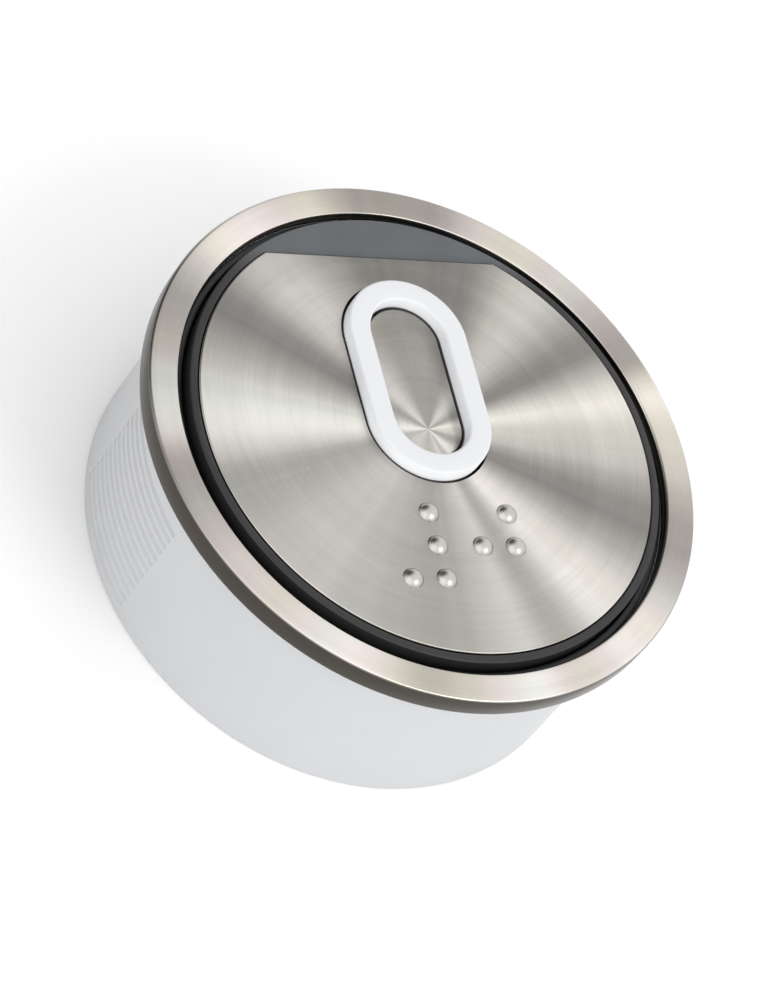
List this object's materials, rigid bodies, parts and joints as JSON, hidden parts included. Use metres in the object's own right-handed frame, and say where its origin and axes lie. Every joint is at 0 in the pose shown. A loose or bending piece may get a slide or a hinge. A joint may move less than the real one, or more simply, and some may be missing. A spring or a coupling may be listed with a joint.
{
  "type": "lift push button",
  "caption": "Round panel-mounted lift push button: steel bezel and brushed face with a raised white zero and Braille, sprung in a white threaded body.",
  "frame": {"origin": "on the button's axis, in the plane of the panel's front surface, where the flange seats", "axes": "+Z out of the face along the button axis, +Y to the top of the numeral, +X to its right"},
  "size_m": [0.04, 0.04, 0.0162],
  "materials": {
    "turned_steel": "fine turned stainless steel",
    "brushed_face": "stainless steel with circular brushing",
    "dot_steel": "polished stainless steel",
    "white_body": "moulded matte white",
    "white_lens": "soft white, light-guiding",
    "smoked_plastic": "satin blue-grey",
    "black_plastic": "moulded matte black",
    "grey_plastic": "moulded mid grey",
    "rubber": "soft black",
    "board_laminate": "green solder resist",
    "lamp_resin": "clear yellowish resin on a white case",
    "switch_stem": "moulded red",
    "tinned_brass": "tinned",
    "spring_steel": "bright drawn wire",
    "screw_steel": "zinc plated",
    "component_black": "moulded epoxy",
    "connector_plastic": "natural nylon"
  },
  "bodies": {
    "root": {"bezel_ring": "turned_steel", "threaded_body": "white_body", "guide_sleeve": "black_plastic", "bumper_ring": "rubber", "inner_chassis": "grey_plastic", "circuit_board": "board_laminate", "led_lamps": "lamp_resin", "light_reflector": "white_body", "microswitch_case": "black_plastic", "microswitch_terminals": "tinned_brass", "return_springs": "spring_steel", "resistors": "component_black", "suppressor_diode": "component_black", "connector_shell": "connector_plastic", "connector_pins": "tinned_brass", "rear_cover": "grey_plastic", "cover_screws": "screw_steel"},
    "button_face": {"cap_carrier": "smoked_plastic", "face_plate": "brushed_face", "zero_island": "brushed_face", "symbol_lens": "white_lens", "braille_pins": "dot_steel", "retainer_ring": "black_plastic", "retainer_screws": "screw_steel"},
    "switch_stem": {"microswitch_stem": "switch_stem"}
  },
  "joints": [
    {"name": "button_press", "type": "slide", "parent": "root", "child": "button_face", "axis": [0, 0, -1], "range_m": [0, 0.0012], "stiffness_N_per_m": 1200, "springref_m": -0.001, "deforming": ["return_springs"]},
    {"name": "stem_travel", "type": "slide", "parent": "root", "child": "switch_stem", "axis": [0, 0, -1], "range_m": [0, 0.0012]}
  ],
  "couplings": [
    {"joint": "stem_travel", "follows": "button_press", "ratio": 1}
  ]
}
